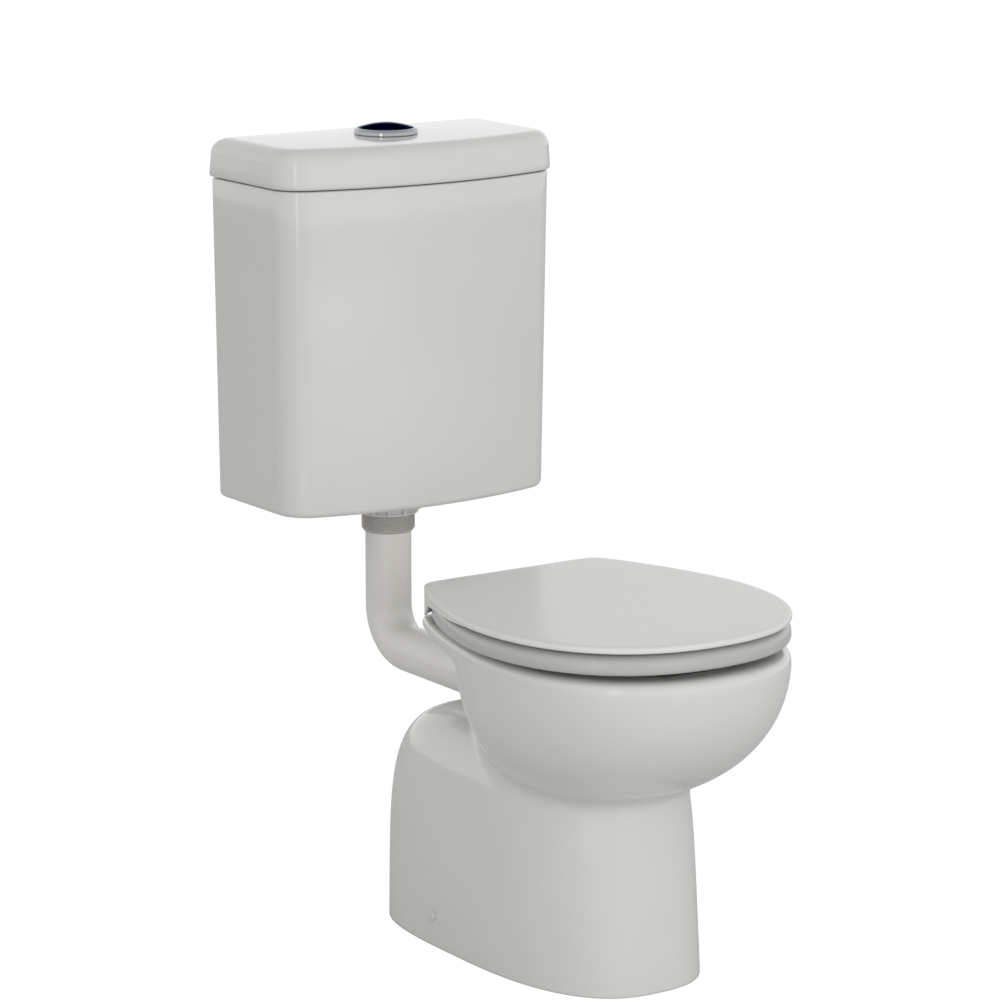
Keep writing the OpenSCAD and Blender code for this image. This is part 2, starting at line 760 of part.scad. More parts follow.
module hinge_washers() {
  color(rubber) hinge_bolt_places() tube(345, 348, 11, 3.05);
}

module hinge_wing_nuts() {
  color(white_plastic) hinge_bolt_places() {
    tube(336, 345, 8, 3.05);
    for (a = [0, 180]) rotate([0, 0, a]) translate([5, -1.5, 329]) cube([7, 3, 13]);
  }
}

pan();
pan_side_screws();
pan_screw_caps();
floor_brackets();
flush_cone();
flush_pipe();
cistern_tank();
flush_valve_base();
tank_outlet_seal();
outlet_backnut();
flush_valve_tower();
lift_tube();
lift_float();
valve_seal();
fill_valve_column();
fill_valve_head();
inlet_seal();
inlet_backnut();
fill_float();
cistern_lid();
button_bezel();
button_locknut();
full_flush_button();
full_push_rod();
full_button_spring();
half_flush_button();
half_push_rod();
half_button_spring();
seat_ring();
ring_buffers();
seat_lid();
lid_buffers();
hinge_posts();
hinge_pins();
hinge_bolts();
hinge_washers();
hinge_wing_nuts();
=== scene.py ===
"""Looks of the toilet suite: china pan and cistern, moulded seat, chrome button, pipe and fittings.

Shapes are worked out in millimetres in the row frame: X to the right, Y towards the wall, Z up.
Distances named d are measured from the wall. mesh_piece() turns them into metres.
"""
import json
import math

import bmesh
import bpy
import numpy as np
from mathutils import Matrix, Vector


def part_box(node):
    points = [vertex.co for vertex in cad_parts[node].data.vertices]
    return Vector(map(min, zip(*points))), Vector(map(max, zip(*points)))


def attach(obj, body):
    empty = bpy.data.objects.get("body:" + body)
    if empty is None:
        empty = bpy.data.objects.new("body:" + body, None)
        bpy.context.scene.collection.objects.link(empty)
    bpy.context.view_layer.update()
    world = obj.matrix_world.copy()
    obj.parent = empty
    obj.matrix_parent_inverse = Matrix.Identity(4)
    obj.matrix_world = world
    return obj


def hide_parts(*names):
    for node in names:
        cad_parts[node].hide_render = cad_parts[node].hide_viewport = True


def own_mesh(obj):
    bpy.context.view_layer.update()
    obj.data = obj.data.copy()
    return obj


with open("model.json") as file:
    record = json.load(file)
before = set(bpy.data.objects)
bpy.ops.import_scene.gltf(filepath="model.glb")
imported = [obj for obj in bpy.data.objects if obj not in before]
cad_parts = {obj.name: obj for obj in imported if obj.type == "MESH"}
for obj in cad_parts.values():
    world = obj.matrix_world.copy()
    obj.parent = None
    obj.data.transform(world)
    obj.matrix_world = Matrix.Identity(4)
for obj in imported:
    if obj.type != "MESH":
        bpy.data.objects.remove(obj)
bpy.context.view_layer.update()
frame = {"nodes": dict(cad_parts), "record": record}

MM = 0.001
TURN = 2 * math.pi
SIDES = (-1, 1)


def low(node):
    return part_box(node)[0] / MM


def high(node):
    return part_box(node)[1] / MM


WALL_Y = high("cistern_tank").y
RIM_Z = high("pan").z
TANK_Z = low("cistern_tank").z
TANK_TOP = high("cistern_tank").z
LID_TOP = high("cistern_lid").z
LID_Z = TANK_TOP + 1.2
FLUSH_Y = (low("flush_valve_tower").y + high("flush_valve_tower").y) / 2
PIPE_Z = (low("flush_cone").z + high("flush_cone").z) / 2
HINGE_Y = (low("hinge_pins").y + high("hinge_pins").y) / 2
HINGE_Z = (low("hinge_pins").z + high("hinge_pins").z) / 2


def at(d):
    return WALL_Y - d


def smoothstep(t):
    u = min(1, max(0, t))
    return u * u * (3 - 2 * u)


# ---- Materials ----


def principled(name, colour, roughness, **sockets):
    m = bpy.data.materials.new(name)
    m.use_nodes = True
    shader = m.node_tree.nodes["Principled BSDF"]
    shader.inputs["Base Color"].default_value = (*colour, 1)
    shader.inputs["Roughness"].default_value = roughness
    for socket, value in sockets.items():
        shader.inputs[socket.replace("_", " ")].default_value = value
    return m


def add_tone(m, colour, spread, scale):
    """Gives the base colour a faint cloudy change of tone."""
    tree = m.node_tree
    shader = tree.nodes["Principled BSDF"]
    coords = tree.nodes.new("ShaderNodeTexCoord")
    noise = tree.nodes.new("ShaderNodeTexNoise")
    noise.inputs["Scale"].default_value = scale
    noise.inputs["Detail"].default_value = 2
    ramp = tree.nodes.new("ShaderNodeValToRGB")
    ramp.color_ramp.elements[0].position = 0.3
    ramp.color_ramp.elements[1].position = 0.7
    ramp.color_ramp.elements[0].color = (*[c * (1 - spread) for c in colour], 1)
    ramp.color_ramp.elements[1].color = (*[min(1, c * (1 + spread)) for c in colour], 1)
    tree.links.new(coords.outputs["Object"], noise.inputs["Vector"])
    tree.links.new(noise.outputs["Fac"], ramp.inputs["Fac"])
    tree.links.new(ramp.outputs["Color"], shader.inputs["Base Color"])


def add_waves(m, scale, strength, distance):
    """Gives the surface normals a slow, shallow wave, as a glaze has."""
    tree = m.node_tree
    shader = tree.nodes["Principled BSDF"]
    coords = tree.nodes.new("ShaderNodeTexCoord")
    noise = tree.nodes.new("ShaderNodeTexNoise")
    noise.inputs["Scale"].default_value = scale
    noise.inputs["Detail"].default_value = 1
    bump = tree.nodes.new("ShaderNodeBump")
    bump.inputs["Strength"].default_value = strength
    bump.inputs["Distance"].default_value = distance
    tree.links.new(coords.outputs["Object"], noise.inputs["Vector"])
    tree.links.new(noise.outputs["Fac"], bump.inputs["Height"])
    tree.links.new(bump.outputs["Normal"], shader.inputs["Normal"])


def china_material():
    colour = (0.57, 0.57, 0.553)
    m = principled("china", colour, 0.16, Coat_Weight=0.6, Coat_Roughness=0.05, IOR=1.5)
    add_tone(m, colour, 0.012, 9)
    add_waves(m, 14, 0.25, 0.0006)
    return m


def seat_material():
    colour = (0.62, 0.62, 0.605)
    m = principled("seat plastic", colour, 0.26, Coat_Weight=0.15, Coat_Roughness=0.12, IOR=1.5)
    add_waves(m, 20, 0.12, 0.0004)
    return m


MATERIALS = {
    "china": china_material(),
    "seat_plastic": seat_material(),
    # The ring's plastic is the seat plastic made darker: painted shade, for the shade the lid casts on the
    # ring.
    "ring_painted_shade_plastic": principled("ring plastic with painted shade", (0.4, 0.4, 0.388), 0.24, Coat_Weight=0.2, Coat_Roughness=0.15),
    "buffer_plastic": principled("buffer plastic", (0.55, 0.54, 0.52), 0.5),
    "pipe_plastic": principled(
        "pipe plastic", (0.66, 0.65, 0.615), 0.26, Coat_Weight=0.2, Coat_Roughness=0.15
    ),
    "white_plastic": principled("white plastic", (0.55, 0.55, 0.54), 0.38),
    "grey_plastic": principled("grey plastic", (0.4, 0.375, 0.355), 0.42),
    "float_plastic": principled("float plastic", (0.5, 0.58, 0.66), 0.4),
    "rubber": principled("rubber", (0.025, 0.025, 0.027), 0.6),
    "chrome": principled("chrome", (0.4, 0.41, 0.43), 0.1, Metallic=1.0),
    # The buttons' chrome with a near-black base and a darkened edge tint: a painted dark reflection, standing
    # in for dark surroundings mirrored in the chrome.
    "dome_painted_reflection_chrome": principled(
        "dome chrome with painted reflection", (0.035, 0.042, 0.06), 0.09, Metallic=1.0, Specular_Tint=(0.22, 0.24, 0.3, 1)
    ),
    "steel": principled("steel", (0.55, 0.56, 0.57), 0.3, Metallic=1.0),
}


# ---- Mesh helpers ----


def mesh_piece(name, verts, faces, sharp=40):
    """An object made from points in millimetres, smooth apart from edges sharper than an angle."""
    mesh = bpy.data.meshes.new(name)
    mesh.from_pydata([tuple(v * MM for v in p) for p in verts], [], faces)
    bm = bmesh.new()
    bm.from_mesh(mesh)
    bmesh.ops.remove_doubles(bm, verts=bm.verts, dist=1e-6)
    bmesh.ops.recalc_face_normals(bm, faces=bm.faces)
    bm.to_mesh(mesh)
    bm.free()
    obj = bpy.data.objects.new(name, mesh)
    bpy.context.scene.collection.objects.link(obj)
    smooth_shade(obj, sharp)
    return obj


def smooth_shade(obj, sharp):
    obj.data.shade_smooth()
    obj.data.set_sharp_from_angle(angle=math.radians(sharp))


def rings_mesh(name, rings, closed=False, sharp=40):
    """Joins rings of the same number of points. The ends are capped, or joined if closed."""
    n = len(rings[0])
    m = len(rings)
    verts = [p for r in rings for p in r]
    faces = []
    for k in range(m if closed else m - 1):
        a0, b0 = k * n, ((k + 1) % m) * n
        for i in range(n):
            j = (i + 1) % n
            faces.append((a0 + i, a0 + j, b0 + j, b0 + i))
    if not closed:
        faces.append(tuple(range(n)))
        faces.append(tuple((m - 1) * n + i for i in range(n)))
    return mesh_piece(name, verts, faces, sharp)


def lathe(name, profile, centre=(0, 0, 0), axis="Z", steps=96, closed=True, sharp=40):
    """Turns a profile of (radius, height) about an axis. An open profile starts and ends on the axis."""
    angles = [TURN * i / steps for i in range(steps)]
    place = {
        "Z": lambda r, h, a: (centre[0] + r * math.cos(a), centre[1] + r * math.sin(a), centre[2] + h),
        "X": lambda r, h, a: (centre[0] + h, centre[1] + r * math.cos(a), centre[2] + r * math.sin(a)),
        "Y": lambda r, h, a: (centre[0] + r * math.cos(a), centre[1] + h, centre[2] + r * math.sin(a)),
    }[axis]
    rings = [[place(r, h, a) for a in angles] for r, h in profile]
    return rings_mesh(name, rings, closed, sharp)


def cylinder(name, r, h0, h1, centre=(0, 0, 0), axis="Z", steps=64, soft=0):
    """A capped cylinder, with its end edges rounded by soft."""
    ends = [(r, h0), (r, h1)]
    if soft:
        arc = [math.pi / 2 * i / 4 for i in range(5)]
        ends = [(r - soft + soft * math.sin(a), h0 + soft - soft * math.cos(a)) for a in arc]
        ends += [(r - soft + soft * math.cos(a), h1 - soft + soft * math.sin(a)) for a in arc]
    return lathe(name, ends, centre, axis, steps, closed=False)


def block(name, p0, p1):
    x = (p0[0], p1[0])
    y = (p0[1], p1[1])
    z = (p0[2], p1[2])
    verts = [(x[i], y[j], z[k]) for k in (0, 1) for j in (0, 1) for i in (0, 1)]
    faces = [(0, 2, 3, 1), (4, 5, 7, 6), (0, 1, 5, 4), (2, 6, 7, 3), (0, 4, 6, 2), (1, 3, 7, 5)]
    return mesh_piece(name, verts, faces)


def bake(obj):
    """Applies an object's modifiers."""
    bpy.context.view_layer.update()
    graph = bpy.context.evaluated_depsgraph_get()
    mesh = bpy.data.meshes.new_from_object(obj.evaluated_get(graph))
    obj.modifiers.clear()
    obj.data = mesh
    return obj


def combine(obj, tools, operation):
    """Adds tools to an object, or cuts them from it, and deletes the tools."""
    for tool in tools:
        modifier = obj.modifiers.new("combine", "BOOLEAN")
        modifier.operation = operation
        modifier.solver = "MANIFOLD"
        modifier.object = tool
        bake(obj)
        bpy.data.objects.remove(tool)
    return obj


def add(obj, *tools):
    return combine(obj, tools, "UNION")


def cut(obj, *tools):
    return combine(obj, tools, "DIFFERENCE")


def soften(obj, width, segments=3, angle=35):
    """Rounds an object's sharp edges."""
    modifier = obj.modifiers.new("soften", "BEVEL")
    modifier.width = width * MM
    modifier.segments = segments
    modifier.limit_method = "ANGLE"
    modifier.angle_limit = math.radians(angle)
    modifier.harden_normals = True
    bake(obj)
    return obj


def finish_piece(obj, body, slot, nodes=(), sharp=40):
    """Smooths a finished piece, gives it the material of its slot, attaches it to its body and hides the CAD
    nodes it stands for.
    """
    smooth_shade(obj, sharp)
    obj.data.materials.clear()
    obj.data.materials.append(MATERIALS[slot])
    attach(obj, body)
    if nodes:
        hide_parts(*nodes)
    return obj


# ---- Outlines ----


def super_r(phi, a, b, n):
    """Radius of a superellipse at each angle."""
    return (np.abs(np.cos(phi) / a) ** n + np.abs(np.sin(phi) / b) ** n) ** (-1 / n)


def soft_min(r, s, p):
    return (r**-p + s**-p) ** (-1 / p)


def two_ends(phi, back, front):
    """Takes the back value towards the wall and the front value away from it."""
    return np.where(np.sin(phi) > 1e-9, back, front)


def egg_r(phi, a, bf, nf, br, nr, back, p):
    """Radius of an egg outline whose back is cut off straight, with rounded joins."""
    rear = super_r(phi, a, br, nr)
    straight = back / np.maximum(np.sin(phi), 0.01)
    return two_ends(phi, soft_min(rear, straight, p), super_r(phi, a, bf, nf))


def ring_at(phi, d, z, radii):
    return np.stack([radii * np.cos(phi), at(d) + radii * np.sin(phi), np.full(len(phi), z)], axis=1)


def quarter(steps):
    return [math.pi / 2 * i / steps for i in range(steps + 1)]


# ---- Pan ----

BOWL_A = 162
BOWL_D = 532.7
BOWL_BF = 194.3
BOWL_BR = 194.2
BOWL_SHIFT = 88
BOWL_Z = RIM_Z - 6
BOWL_H = 177
BOWL_NF = 2.3
BOWL_NR = 2.0
BOWL_M = (2.1, 2.18)
DECK_BR = 345
DECK_NR = 1.6
DECK_BACK = BOWL_D - 314
DECK_BLEND = (336, 355)
SKIRT_A = 113.5
SKIRT_D = 396.2
SKIRT_BF = 218.2
SKIRT_BR = 206.5
SKIRT_NF = 2.64
SKIRT_NR = 3.42
HUMP_Z = 254.9
HUMP_M = (4.4, 5.4)
SKIRT_LEAN = (0.094, 0.035)
PAN_WALL = 12
MOUTH = (116, 150, 2.25)
SUMP_R = 42
SUMP_Z = 78
SUMP_D = BOWL_D - BOWL_SHIFT + 4
TRAP_R = 30
TRAP = ((440, 112), (345, 198), (262, 150), (262, 60))
HORN_D = 322
HORN_R = 38
VOXEL = 4
BELOW = 12
PAN_PHI = TURN * np.arange(240) / 240


def bowl_size(z):
    """The bowl's scale at a height, from 1 below the rim to 0 at its foot."""
    t = np.clip((BOWL_Z - z) / BOWL_H, 0, 1)
    return (1 - t ** BOWL_M[0]) ** (1 / BOWL_M[1])


def bowl_ring(z, inset=0, deck=True):
    s = bowl_size(z)
    u = smoothstep((z - DECK_BLEND[0]) / (DECK_BLEND[1] - DECK_BLEND[0])) if deck else 0
    a, bf, br = (v * s - inset for v in (BOWL_A, BOWL_BF, BOWL_BR))
    phi = PAN_PHI
    plain = two_ends(phi, super_r(phi, a, br, BOWL_NR), super_r(phi, a, bf, BOWL_NF))
    egg = egg_r(phi, a, bf, BOWL_NF, DECK_BR, DECK_NR, DECK_BACK - inset, 30)
    return ring_at(phi, BOWL_D - BOWL_SHIFT * (1 - s), z, plain * (1 - u) + egg * u)


def skirt_sizes(t):
    """Half width, front reach and back reach of the skirt at a share of its height."""
    return (
        SKIRT_A * (1 - SKIRT_LEAN[1] * t) * (1 - t ** HUMP_M[1]) ** (1 / HUMP_M[1]),
        SKIRT_BF * (1 - SKIRT_LEAN[0] * t),
        SKIRT_BR * (1 - t ** HUMP_M[0]) ** (1 / HUMP_M[0]),
    )


def skirt_ring(t, inset=0):
    a, bf, br = (v - inset for v in skirt_sizes(t))
    phi = PAN_PHI
    radii = two_ends(phi, super_r(phi, a, br, SKIRT_NR), super_r(phi, a, bf, SKIRT_NF))
    return ring_at(phi, SKIRT_D, HUMP_Z * t, radii)


def bowl_outside():
    edge = 5
    foot = [BOWL_Z - BOWL_H * math.cos(math.radians(a)) for a in range(6, 79, 2)]
    upper = list(np.linspace(330, RIM_Z - edge, 18))
    rings = [bowl_ring(z) for z in foot + upper]
    rings += [bowl_ring(RIM_Z - edge + edge * math.sin(a), edge * (1 - math.cos(a))) for a in quarter(5)[1:]]
    return rings_mesh("bowl", rings)


def skirt_outside():
    """The skirt, carried on below the floor so that the foot can be cut clean."""
    levels = [math.sin(math.radians(a)) for a in range(0, 88, 2)]
    return rings_mesh("pan_body", [skirt_ring(0) - [0, 0, BELOW]] + [skirt_ring(t) for t in levels])


def skirt_hollow():
    levels = [0.06 * i for i in range(15)]
    foot = skirt_ring(0, PAN_WALL) - [0, 0, BELOW + 2]
    return rings_mesh("skirt hollow", [foot] + [skirt_ring(t, PAN_WALL) for t in levels])


def bowl_hollow():
    lip_z = RIM_Z - 32
    foot = [BOWL_Z - BOWL_H * math.cos(math.radians(a)) for a in range(26, 79, 4)]
    rings = [bowl_ring(z, PAN_WALL, False) for z in foot + [lip_z - 2]]
    rings += [bowl_ring(lip_z, PAN_WALL + 3, False)]
    return rings_mesh("bowl hollow", rings)


def mouth_hole():
    edge = 6
    levels = [(RIM_Z - 38, 0), (RIM_Z - edge, 0)]
    levels += [(RIM_Z - edge + edge * math.sin(a), edge * (1 - math.cos(a))) for a in quarter(4)[1:]]
    levels += [(RIM_Z + 2, edge + 1)]
    a, b, n = MOUTH
    rings = [ring_at(PAN_PHI, BOWL_D, z, super_r(PAN_PHI, a + g, b + g, n)) for z, g in levels]
    return rings_mesh("mouth", rings)


def ball(name, r, centre):
    arc = [math.pi * i / 24 for i in range(25)]
    profile = [(r * math.sin(a), -r * math.cos(a)) for a in arc]
    return lathe(name, profile, centre, steps=48, closed=False)


def rod_between(name, p0, p1, r):
    """A capped cylinder between two points."""
    start, end = Vector(p0), Vector(p1)
    along = (end - start).normalized()
    side = along.orthogonal().normalized()
    other = along.cross(side)
    circle = [side * math.cos(TURN * i / 48) + other * math.sin(TURN * i / 48) for i in range(48)]
    return rings_mesh(name, [[p + c * r for c in circle] for p in (start, end)])


def trap_run(grow):
    points = [(0, at(d), z) for d, z in TRAP]
    parts = [rod_between("trap", a, b, TRAP_R + grow) for a, b in zip(points, points[1:])]
    return parts + [ball("trap", TRAP_R + grow, p) for p in points]


def crease_weight(x, y, z):
    """How near a point is to the line where the bowl meets the skirt."""
    s = bowl_size(z)
    reach = 20
    by = y - at(BOWL_D - BOWL_SHIFT * (1 - s))
    phi = np.arctan2(by, x)
    s = np.maximum(s, 0.05)
    back = super_r(phi, BOWL_A * s, BOWL_BR * s, BOWL_NR)
    front = super_r(phi, BOWL_A * s, BOWL_BF * s, BOWL_NF)
    bowl = two_ends(phi, back, front)
    bowl_gap = np.abs(np.hypot(x, by) - bowl)
    t = np.clip(z / HUMP_Z, 0, 0.999)
    sy = y - at(SKIRT_D)
    phi = np.arctan2(sy, x)
    a, bf, br = skirt_sizes(t)
    skirt = two_ends(phi, super_r(phi, a, br, SKIRT_NR), super_r(phi, a, bf, SKIRT_NF))
    skirt_gap = np.abs(np.hypot(x, sy) - skirt)
    top_gap = np.abs(z - HUMP_Z)
    skirt_gap = np.minimum(skirt_gap, np.where(np.hypot(x, sy) < skirt + reach, top_gap, reach))
    return np.clip(1.25 - np.maximum(bowl_gap, skirt_gap) / reach, 0, 1)


def pan():
    body = skirt_outside()
    cut(body, skirt_hollow())
    add(body, bowl_outside(), *trap_run(9))
    add(
        body,
        cylinder("sump", SUMP_R + 9, SUMP_Z - 10, SUMP_Z + 145, (0, at(SUMP_D), 0)),
        cylinder("spigot", 51, 8, 120, (0, at(TRAP[3][0]), 0), soft=2),
        cylinder("horn", HORN_R, at(HORN_D + 60), at(HORN_D), (0, 0, PIPE_Z), "Y", soft=4),
    )
    cut(body, bowl_hollow(), mouth_hole())
    cut(body, cylinder("sump", SUMP_R, SUMP_Z, SUMP_Z + 155, (0, at(SUMP_D), 0), soft=12))
    cut(body, *trap_run(0))
    cut(
        body,
        cylinder("outlet", 42, 0, 102, (0, at(TRAP[3][0]), 0)),
        cylinder("horn bore", 30, at(HORN_D + 27), at(HORN_D - 1), (0, 0, PIPE_Z), "Y"),
        cylinder("flush way", 20, at(HORN_D + 90), at(HORN_D), (0, 0, PIPE_Z), "Y"),
        cylinder("pipe channel", 28.25, at(HORN_D + 1), at(180), (0, 0, PIPE_Z), "Y"),
        cylinder("cone pocket", HORN_R - 2, at(HORN_D), at(HORN_D - 6), (0, 0, PIPE_Z), "Y"),
    )
    for s in SIDES:
        cut(
            body,
            cylinder("bolt hole", 7, 300, 400, (s * 77.5, at(350), 0)),
            cylinder("nut pocket", 13, 300, 348, (s * 77.5, at(350), 0)),
        )
    remesh = body.modifiers.new("remesh", "REMESH")
    remesh.mode = "VOXEL"
    remesh.voxel_size = VOXEL * MM
    bake(body)
    mesh = body.data
    co = np.zeros(len(mesh.vertices) * 3, np.float32)
    mesh.vertices.foreach_get("co", co)
    x, y, z = (co.reshape(-1, 3) / MM).astype(float).T
    weight = crease_weight(x, y, z)
    group = body.vertex_groups.new(name="crease")
    for i in np.nonzero(weight > 0.01)[0]:
        group.add([int(i)], float(weight[i]), "REPLACE")
    blend = body.modifiers.new("blend", "SMOOTH")
    blend.factor = 0.5
    blend.iterations = 60
    blend.vertex_group = "crease"
    even = body.modifiers.new("even", "SMOOTH")
    even.factor = 0.5
    even.iterations = 9
    bake(body)
    cut(body, block("below", (-300, -500, -BELOW - 20), (300, 500, 0)))
    return finish_piece(body, "root", "china", ["pan"], sharp=180)


# ---- Cistern ----

BOW_R = 506
CORNER_R = 40
TANK_WALL = 9
FOOT_SIZE = (347, 186.5)
TOP_SIZE = (356.2, 191.9)
LID_SIZE = (363.2, 194.8)


def arc(cx, cy, r, a0, a1, n):
    angles = [a0 + (a1 - a0) * i / n for i in range(n + 1)]
    return [(cx + r * math.cos(a), cy + r * math.sin(a)) for a in angles]


def cistern_ring(w, d, rc, inset, z):
    """Outline with a flat back and a bowed front, pulled in by inset."""
    half = w / 2 - inset
    r = max(rc - inset, 2)
    back = -inset
    bow_y = BOW_R - d
    bow = BOW_R - inset
    cx = half - r
    cy = bow_y - math.sqrt((bow - r) ** 2 - cx**2)
    turn = math.atan2(cy - bow_y, cx)
    rb = 6
    quarter_turn = math.pi / 2
    outline = arc(half - rb, back - rb, rb, quarter_turn, 0, 6)
    outline += arc(cx, cy, r, 0, turn, 20)
    outline += arc(0, bow_y, bow, turn, -math.pi - turn, 36)
    outline += arc(-cx, cy, r, -math.pi - turn, -math.pi, 20)
    outline += arc(-half + rb, back - rb, rb, 2 * quarter_turn, quarter_turn, 6)
    return [(x, WALL_Y + y, z) for x, y in outline]


def tank_ring(z, inset):
    t = (z - TANK_Z) / (TANK_TOP - TANK_Z)
    w = FOOT_SIZE[0] + (TOP_SIZE[0] - FOOT_SIZE[0]) * t
    d = FOOT_SIZE[1] + (TOP_SIZE[1] - FOOT_SIZE[1]) * t
    return cistern_ring(w, d, CORNER_R, inset, z)


def cistern_tank():
    foot_r = 7
    edge = 2
    floor = TANK_Z + 11
    rings = [tank_ring(TANK_Z + foot_r * (1 - math.cos(a)), foot_r * (1 - math.sin(a))) for a in quarter(8)]
    rings += [tank_ring(z, 0) for z in np.linspace(TANK_Z + foot_r, TANK_TOP - edge, 7)[1:]]
    shoulder = TANK_TOP - edge
    rings += [tank_ring(shoulder + edge * math.sin(a), edge * (1 - math.cos(a))) for a in quarter(3)[1:]]
    rings += [
        tank_ring(shoulder + edge * math.cos(a), TANK_WALL - edge + edge * math.sin(a))
        for a in quarter(3)
    ]
    inner_r = 6
    rings += [tank_ring(z, TANK_WALL) for z in np.linspace(TANK_TOP - edge, floor + inner_r, 6)[1:]]
    rings += [
        tank_ring(floor + inner_r * (1 - math.sin(a)), TANK_WALL + inner_r * (1 - math.cos(a)))
        for a in quarter(5)[1:]
    ]
    body = rings_mesh("cistern_tank", rings)
    cut(
        body,
        cylinder("outlet", 32, TANK_Z - 1, TANK_Z + 19, (0, FLUSH_Y, 0)),
        cylinder("inlet", 11.475, TANK_Z - 1, TANK_Z + 19, (120, at(40), 0)),
        *[cylinder("wall hole", 5, at(19), at(-1), (s * 110, 0, 770), "Y") for s in SIDES],
    )
    return finish_piece(body, "root", "china", ["cistern_tank"], sharp=50)


def lid_ring(z, inset):
    return cistern_ring(*LID_SIZE, CORNER_R + 2, inset, z)


def cistern_lid():
    edge = 17
    ceiling = LID_TOP - 11
    rings = [
        lid_ring(LID_TOP - edge + edge * math.sin(a), 1.5 + edge * (1 - math.cos(a)))
        for a in reversed(quarter(12))
    ]
    side = [(LID_Z + 14, 0.7), (LID_Z + 6, 0.1), (LID_Z + 3.5, 0), (LID_Z + 1.8, 0.3)]
    under = [(LID_Z + 0.6, 1.2), (LID_Z, 2.8), (LID_Z, 7), (LID_Z + 1, 8)]
    inside = [(ceiling - 4, 8.5), (ceiling, 12), (ceiling, 15.5), (ceiling - 2, 16)]
    lip = [(LID_Z - 8, 16), (LID_Z - 9, 17), (LID_Z - 9, 21), (LID_Z - 8, 22)]
    lip += [(ceiling - 2, 22), (ceiling, 24)]
    rings += [lid_ring(z, inset) for z, inset in side + under + inside + lip]
    body = rings_mesh("cistern_lid", rings)
    cut(body, cylinder("button hole", 20, LID_Z, LID_TOP + 1, (0, FLUSH_Y, 0)))
    return finish_piece(body, "cistern_lid", "china", ["cistern_lid"], sharp=50)


# ---- Flush button ----

BEZEL_R = 36
DOME_H = 12.5
SLEEVE_R = 19.5
SLEEVE_BORE = 17
FULL_X = -7
HALF_X = 9
SPLIT_X = 44.2
SPLIT_R = 40
SHELF_Z = LID_TOP - 32


def button_bezel():
    r = BEZEL_R
    profile = [
        (SLEEVE_BORE, -40), (SLEEVE_R, -40), (SLEEVE_R, 0.02), (r - 0.8, 0.02), (r, 0.8), (r, 3.2),
        (r - 0.3, 4.4), (r - 1, 5.6), (r - 1.9, 6.5), (r - 2.8, 6.95), (r - 3.8, 7), (r - 4.6, 6.8),
        (r - 4.9, 6.2), (r - 4.9, 1),
        (SLEEVE_BORE, 1),
    ]
    body = lathe("button_bezel", profile, (0, FLUSH_Y, LID_TOP), steps=128)
    shelf = cylinder("shelf", SLEEVE_BORE + 0.5, SHELF_Z - 2, SHELF_Z, (0, FLUSH_Y, 0))
    cut(
        shelf,
        cylinder("full hole", 5.4, SHELF_Z - 3, SHELF_Z + 1, (FULL_X, FLUSH_Y, 0)),
        cylinder("half hole", 4.4, SHELF_Z - 3, SHELF_Z + 1, (HALF_X, FLUSH_Y, 0)),
    )
    add(body, shelf)
    return finish_piece(body, "cistern_lid", "chrome", ["button_bezel"])


def dome(name):
    """Thin shallow cap with a rounded rim, that both buttons are cut from."""
    rim_r = BEZEL_R - 5.3
    rise = DOME_H - 7
    big_r = (rim_r**2 + rise**2) / (2 * rise)
    thick = 1.6

    def cap(r, radius):
        return DOME_H - big_r + math.sqrt(radius**2 - r**2)

    out = [(r, cap(r, big_r)) for r in np.linspace(0, rim_r - 1.2, 22)]
    out += [(rim_r - 0.35, cap(rim_r - 0.6, big_r) - 0.1), (rim_r, cap(rim_r, big_r) - 0.5), (rim_r, 5.6)]
    under = [(r, cap(r, big_r - thick)) for r in np.linspace(rim_r - 0.4, 0, 16)]
    return lathe(name, out + under, (0, FLUSH_Y, LID_TOP), steps=128, closed=False)


def split(grow):
    return cylinder("split", SPLIT_R + grow, LID_TOP - 5, LID_TOP + 35, (SPLIT_X, FLUSH_Y, 0), steps=256)


def stem(x, r):
    body = cylinder("stem", r, LID_TOP - 42, LID_TOP + DOME_H - 1, (x, FLUSH_Y, 0))
    return cut(body, cylinder("socket", 2.5, LID_TOP - 43, LID_TOP - 30, (x, FLUSH_Y, 0)))


def flush_buttons():
    full = dome("full_flush_button")
    cut(full, split(0.5))
    soften(full, 0.5)
    add(full, stem(FULL_X, 5))
    finish_piece(full, "full_button", "chrome", ["full_flush_button"])
    # The near-black chrome on the full button is a painted dark reflection.
    full.data.materials[0] = MATERIALS["dome_painted_reflection_chrome"]
    half = dome("half_flush_button")
    combine(half, [split(-0.5)], "INTERSECT")
    soften(half, 0.5)
    add(half, stem(HALF_X, 4))
    finish_piece(half, "half_button", "chrome", ["half_flush_button"])
    # The near-black chrome on the half button is a painted dark reflection.
    half.data.materials[0] = MATERIALS["dome_painted_reflection_chrome"]


def spring(name, x, coil_r, wire):
    """A wound steel wire. It stands on the shelf and reaches up under its button."""
    turns = 7
    start = SHELF_Z + wire
    end = LID_TOP + DOME_H - 4 - wire
    steps = turns * 28
    points = []
    for k in range(steps + 1):
        share = k / steps
        height = smoothstep(share) * 0.35 + share * 0.65
        a = TURN * turns * share
        z = start + (end - start) * height
        points.append(Vector((x + coil_r * math.cos(a), FLUSH_Y + coil_r * math.sin(a), z)))
    rings = sweep_rings(points, wire, 8)
    coil = finish_piece(rings_mesh(name, rings), "cistern_lid", "steel", [name])
    height = end + wire - SHELF_Z
    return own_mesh(coil)


